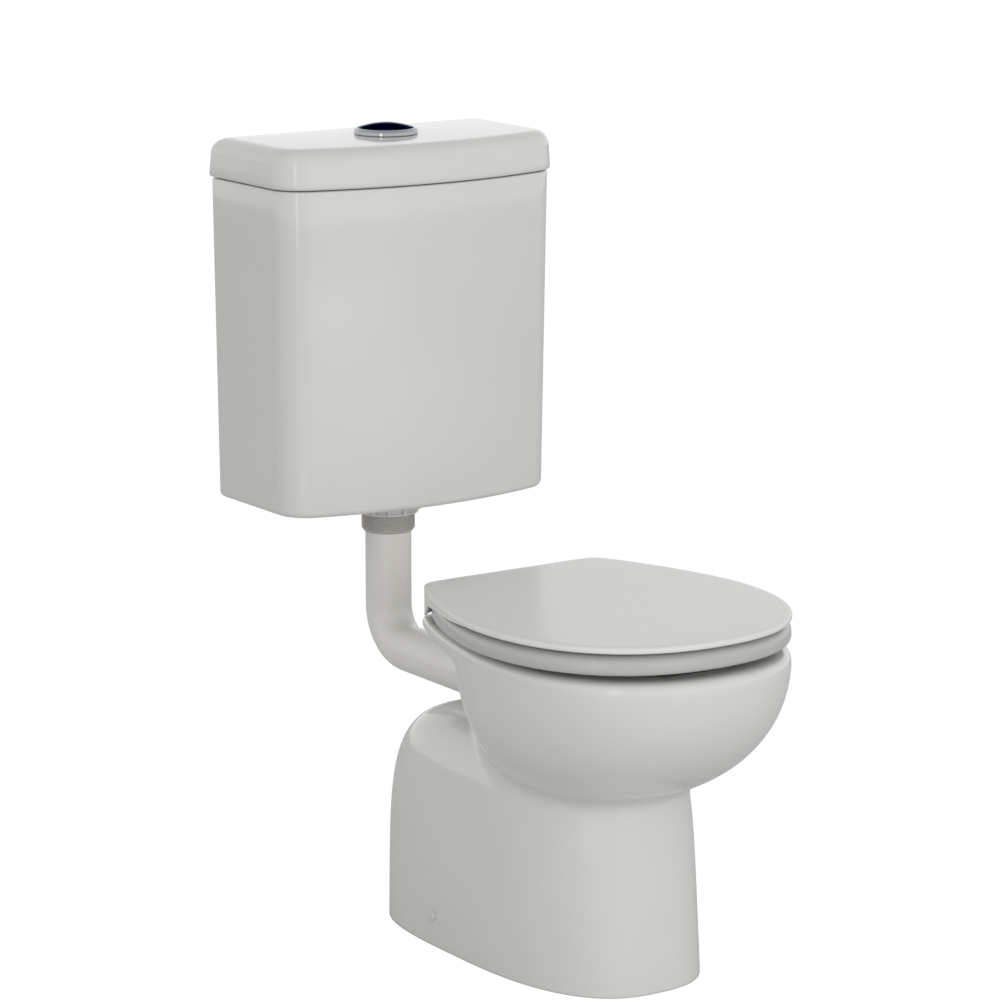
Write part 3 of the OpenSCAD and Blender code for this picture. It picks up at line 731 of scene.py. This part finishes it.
def sweep_rings(points, radius, sides):
    """Rings of a round tube along a path."""
    rings = []
    normal = None
    for i, p in enumerate(points):
        before = points[max(i - 1, 0)]
        after = points[min(i + 1, len(points) - 1)]
        along = (after - before).normalized()
        normal = along.orthogonal() if normal is None else normal - along * normal.dot(along)
        normal = normal.normalized()
        other = along.cross(normal)
        rings.append([
            p + normal * radius * math.cos(TURN * j / sides) + other * radius * math.sin(TURN * j / sides)
            for j in range(sides)
        ])
    return rings


# ---- Flush pipe and outlet ----

PIPE_R = 26.25
PIPE_BORE = 23.65
BEND_R = 45
TAIL_R = 30.5
TAIL_Z = low("flush_valve_base").z


def flush_pipe():
    top = high("flush_pipe").z
    points = [Vector((0, FLUSH_Y, z)) for z in np.linspace(top, PIPE_Z + BEND_R, 5)]
    corner = Vector((0, FLUSH_Y - BEND_R, PIPE_Z + BEND_R))
    for i in range(1, 25):
        a = math.pi / 2 * i / 24
        points.append(corner + Vector((0, BEND_R * math.cos(a), -BEND_R * math.sin(a))))
    end = low("flush_pipe").y
    points += [Vector((0, y, PIPE_Z)) for y in np.linspace(FLUSH_Y - BEND_R, end, 6)[1:]]
    outer = sweep_rings(points, PIPE_R, 96)
    inner = sweep_rings(points, PIPE_BORE, 96)
    body = rings_mesh("flush_pipe", outer + list(reversed(inner)), closed=True)
    return finish_piece(body, "root", "pipe_plastic", ["flush_pipe"])


def flush_cone():
    r = PIPE_R + 0.05
    profile = [
        (r, 0), (33.5, 0), (34.5, -1), (34.5, -2.8), (34, -3.8), (30.5, -3.8), (29.9, -4.6), (29.9, -23),
        (28.8, -24), (r, -24),
    ]
    body = lathe("flush_cone", profile, (0, high("flush_cone").y, PIPE_Z), "Y")
    return finish_piece(body, "root", "rubber", ["flush_cone"])


def flush_valve_base():
    """The threaded tail below the tank, and the flange and seat inside it."""
    pitch = 2.31
    depth = 0.9
    floor = TANK_Z + 11
    bore = PIPE_R + 0.05
    thread = []
    z = TAIL_Z + 3
    while z + pitch < TANK_Z + 9:
        thread += [(TAIL_R - depth, z), (TAIL_R, z + pitch * 0.42), (TAIL_R, z + pitch * 0.58)]
        z += pitch
    profile = [(bore, TAIL_Z), (TAIL_R - 3, TAIL_Z), (TAIL_R - depth, TAIL_Z + 2.4)] + thread
    profile += [(TAIL_R - depth, z), (TAIL_R - depth, floor + 4)]
    profile += [(43.4, floor + 4), (44, floor + 4.6), (44, floor + 8.4), (43.4, floor + 9)]
    profile += [(TAIL_R + 2, floor + 9), (TAIL_R, floor + 10), (28, floor + 10), (28, floor + 12.6)]
    profile += [(27.4, floor + 13), (22.6, floor + 13)]
    profile += [(22, floor + 12.6), (22, floor + 8.4), (bore, floor + 8)]
    body = lathe("flush_valve_base", profile, (0, FLUSH_Y, 0), steps=144, sharp=30)
    return finish_piece(body, "root", "grey_plastic", ["flush_valve_base"], sharp=30)


def outlet_backnut():
    """A ribbed nut on the tail, under the tank."""
    top = TANK_Z - 0.1
    foot = low("outlet_backnut").z
    bore = TAIL_R + 0.05
    profile = [
        (bore, foot), (34, foot), (34.4, foot + 0.4), (34.4, foot + 2), (34, foot + 2.4), (32.6, foot + 2.6),
        (32.6, top - 4), (36.6, top - 4), (37, top - 3.6), (37, top - 0.4), (36.6, top), (bore, top),
    ]
    body = lathe("outlet_backnut", profile, (0, FLUSH_Y, 0), steps=144, sharp=30)
    ribs = []
    for k in range(12):
        rib = block("rib", (32, -2, foot + 2), (37, 2, top - 2))
        rib.data.transform(Matrix.Rotation(TURN * k / 12, 4, "Z"))
        rib.data.transform(Matrix.Translation((0, FLUSH_Y * MM, 0)))
        ribs.append(soften(rib, 0.5))
    add(body, *ribs)
    return finish_piece(body, "root", "buffer_plastic", ["outlet_backnut"], sharp=30)


# ---- Seat ----

SEAT_A = 173.8
SEAT_D = 524
SEAT_BF = 191.2
SEAT_NF = 2.27
SEAT_BR = 308.7
SEAT_NR = 1.55
LID_BACK_D = 328.7
RING_BACK_D = 356
RING_TAPER = 19
RING_HOLE = (114, 129, 119, 2.2)
RING_Z = low("seat_ring").z
RING_TOP = high("seat_ring").z
LID_UNDER = high("lid_buffers").z
LID_CREST = high("seat_lid").z
LID_T = 7.4
POST_X = 77.5
POST_W = 13
LUG_GAP = 1.5
LUG_W = 12
BARREL_R = 5.6
PIN_R = 3
HOOD_Z = low("seat_lid").z
RIM_T = 3
RIM_EDGE = ((360, 380), (371, 389), (409, 392.8), (452, 394.5), (500, 397.5))
SEAT_PHI = TURN * np.arange(288) / 288


def seat_outline(z, inset, back_d, taper=0):
    phi = SEAT_PHI
    rear = SEAT_BR - inset - taper
    radii = egg_r(phi, SEAT_A - inset, SEAT_BF - inset, SEAT_NF, rear, SEAT_NR, SEAT_D - back_d - inset, 36)
    return ring_at(phi, SEAT_D, z, radii)


def hole_outline(z, grow):
    a, bf, br, n = RING_HOLE
    phi = SEAT_PHI
    radii = two_ends(phi, super_r(phi, a + grow, br + grow, n), super_r(phi, a + grow, bf + grow, n))
    return ring_at(phi, SEAT_D, z, radii)


def seat_ring():
    h = RING_TOP - RING_Z
    outer = [(0, 7), (0.5, 4), (1.5, 2), (3.5, 0.9), (6, 0.5), (h - 9, 1), (h - 6, 2), (h - 3.8, 3.8)]
    outer += [(h - 2, 6.4), (h - 0.8, 10), (h - 0.2, 15), (h, 21)]
    inner = [(h - 0.1, 15), (h - 0.7, 8.6), (h - 2, 4.6), (h - 4, 2), (h - 7, 0.5), (8, 0)]
    inner += [(4, 0.4), (1.6, 1.6), (0.5, 3), (0, 5)]
    rings = [seat_outline(RING_Z + z, inset, RING_BACK_D, RING_TAPER) for z, inset in outer]
    rings += [hole_outline(RING_Z + z, grow) for z, grow in inner]
    body = rings_mesh("seat_ring", rings, closed=True)
    for s in SIDES:
        x = s * (POST_X + POST_W / 2 + LUG_GAP + LUG_W / 2)
        add(
            body,
            block(
                "lug",
                (x - LUG_W / 2, at(RING_BACK_D + 8), HINGE_Z - 3),
                (x + LUG_W / 2, HINGE_Y, HINGE_Z + 5),
            ),
            cylinder("barrel", BARREL_R, x - LUG_W / 2, x + LUG_W / 2, (0, HINGE_Y, HINGE_Z), "X", soft=0.8),
        )
    cut(body, cylinder("pin hole", PIN_R + 0.05, -130, 130, (0, HINGE_Y, HINGE_Z), "X"))
    finish_piece(body, "seat_ring", "seat_plastic", ["seat_ring"])
    # The darker copy of the seat plastic is painted shade from the lid above the ring.
    body.data.materials[0] = MATERIALS["ring_painted_shade_plastic"]
    return body


def lid_rim():
    """The lid's turned-down rim: deep behind the hinge, shallow along the sides."""
    rim = rings_mesh("rim", [seat_outline(z, 0.3, LID_BACK_D) for z in (HOOD_Z, LID_UNDER + 2)])
    inner = [seat_outline(z, 0.3 + RIM_T, LID_BACK_D) for z in (HOOD_Z - 1, LID_UNDER + 3)]
    cut(rim, rings_mesh("inside", inner))
    side = [(RIM_EDGE[4][0], LID_UNDER + 1), (LID_BACK_D - 2, LID_UNDER + 1)]
    side += [(LID_BACK_D - 2, HOOD_Z), (344, HOOD_Z)]
    side += RIM_EDGE
    keep = rings_mesh("keep", [[(x, at(d), z) for d, z in side] for x in (-200, 200)])
    return combine(rim, [keep], "INTERSECT")


def seat_lid():
    edge = [(0, 2.2), (0.3, 1), (1, 0.25), (2.2, 0), (LID_T - 3.6, 0), (LID_T - 2.2, 0.35)]
    edge += [(LID_T - 1.2, 1.1), (LID_T - 0.5, 2.3), (LID_T - 0.1, 4.2), (LID_T + 0.05, 7)]
    edge += [(LID_T + 0.3, 20), (LID_T + 0.55, 45), (LID_CREST - LID_UNDER, 90)]
    rings = [seat_outline(LID_UNDER + z, inset, LID_BACK_D) for z, inset in edge]
    body = rings_mesh("seat_lid", rings)
    add(body, lid_rim())
    for s in SIDES:
        x = s * (POST_X - POST_W / 2 - LUG_GAP - LUG_W / 2)
        add(
            body,
            block("lug", (x - LUG_W / 2, HINGE_Y - 5, HINGE_Z), (x + LUG_W / 2, HINGE_Y + 5, LID_UNDER + 2)),
            cylinder("barrel", BARREL_R, x - LUG_W / 2, x + LUG_W / 2, (0, HINGE_Y, HINGE_Z), "X", soft=0.8),
        )
        ends = sorted((s * (POST_X - 9.5), s * (POST_X + 21)))
        low_end = (ends[0], at(LID_BACK_D + 8), HOOD_Z - 1)
        cut(body, block("notch", low_end, (ends[1], at(LID_BACK_D - 2), LID_UNDER)))
    cut(body, cylinder("pin hole", PIN_R + 0.05, -130, 130, (0, HINGE_Y, HINGE_Z), "X"))
    return finish_piece(body, "seat_lid", "seat_plastic", ["seat_lid"])


# ---- Small parts ----


def screw_caps():
    for s in SIDES:
        outer = 114.9
        profile = [(0, outer), (3, outer - 0.05), (5.2, outer - 0.35), (6.3, outer - 0.9)]
        profile += [(6.6, outer - 1.5), (6.6, outer - 2), (0, outer - 2)]
        name = "pan_screw_cap." + ("left" if s < 0 else "right")
        mirrored = [(r, s * h) for r, h in profile]
        body = lathe(name, mirrored, (0, at(346.6), 34), "X", closed=False)
        finish_piece(body, "root", "white_plastic", ["pan_screw_caps"])


def cad_materials():
    """CAD nodes that keep their own shape take the material of their slot."""
    slots = {s["node"]: s["material_slot"] for s in frame["record"]["subparts"]}
    for node, obj in frame["nodes"].items():
        obj.data.materials.clear()
        obj.data.materials.append(MATERIALS[slots[node]])


# ---- Stage ----


def area_light(name, place, target, size, power, mirrored=True):
    light = bpy.data.lights.new(name, "AREA")
    light.shape = "RECTANGLE"
    light.size, light.size_y = size
    light.energy = power
    obj = bpy.data.objects.new(name, light)
    bpy.context.scene.collection.objects.link(obj)
    obj.location = place
    obj.rotation_euler = (Vector(target) - Vector(place)).to_track_quat("-Z", "Y").to_euler()
    obj.visible_glossy = mirrored


def stage():
    floor = block("floor", (-12000, -12000, -20), (12000, 12000, 0))
    material = principled("floor", (0.58, 0.58, 0.58), 0.8)
    tree = material.node_tree
    white = tree.nodes.new("ShaderNodeEmission")
    white.inputs["Strength"].default_value = 1.02
    mix = tree.nodes.new("ShaderNodeMixShader")
    rays = tree.nodes.new("ShaderNodeLightPath")
    tree.links.new(rays.outputs["Is Camera Ray"], mix.inputs["Fac"])
    tree.links.new(tree.nodes["Principled BSDF"].outputs["BSDF"], mix.inputs[1])
    tree.links.new(white.outputs["Emission"], mix.inputs[2])
    tree.links.new(mix.outputs["Shader"], tree.nodes["Material Output"].inputs["Surface"])
    floor.data.materials.append(material)
    world = bpy.data.worlds.new("studio")
    world.use_nodes = True
    tree = world.node_tree
    rays = tree.nodes.new("ShaderNodeLightPath")
    coords = tree.nodes.new("ShaderNodeTexCoord")
    split_xyz = tree.nodes.new("ShaderNodeSeparateXYZ")
    sky = tree.nodes.new("ShaderNodeMapRange")
    sky.inputs["To Min"].default_value = 1.1
    sky.inputs["To Max"].default_value = 0.6
    level = tree.nodes.new("ShaderNodeMix")
    level.inputs["B"].default_value = 1.02
    tree.links.new(coords.outputs["Generated"], split_xyz.inputs["Vector"])
    tree.links.new(split_xyz.outputs["Z"], sky.inputs["Value"])
    tree.links.new(sky.outputs["Result"], level.inputs["A"])
    tree.links.new(rays.outputs["Is Camera Ray"], level.inputs["Factor"])
    tree.links.new(level.outputs["Result"], tree.nodes["Background"].inputs["Strength"])
    tree.nodes["Background"].inputs["Color"].default_value = (1, 1, 1, 1)
    bpy.context.scene.world = world
    middle = (0, 0, 0.45)
    area_light("front", (0.3, -3.5, 0.9), middle, (2, 1.6), 36, mirrored=False)
    area_light("low left", (-1.5, -1.1, 0.15), (0, 0, 0.2), (0.8, 0.3), 3.2, mirrored=False)
    area_light("strip", (-2.6, -1.9, 1.2), middle, (0.4, 2.2), 4)
    bpy.context.scene.view_settings.view_transform = "Standard"


def camera():
    data = bpy.data.cameras.new("camera")
    data.sensor_width = 36
    data.lens = 145.03
    obj = bpy.data.objects.new("camera", data)
    bpy.context.scene.collection.objects.link(obj)
    place = Vector((-2.409, -3.5075, 1.3955))
    target = Vector((0.0084, 0.0642, 0.4746))
    obj.location = place
    obj.rotation_euler = (target - place).to_track_quat("-Z", "Y").to_euler()
    bpy.context.scene.camera = obj


camera()
stage()
cad_materials()
pan()
cistern_tank()
cistern_lid()
button_bezel()
flush_buttons()
spring("full_button_spring", FULL_X, 6.6, 0.5)
spring("half_button_spring", HALF_X, 4.7, 0.4)
flush_pipe()
flush_cone()
flush_valve_base()
outlet_backnut()
seat_ring()
seat_lid()
screw_caps()
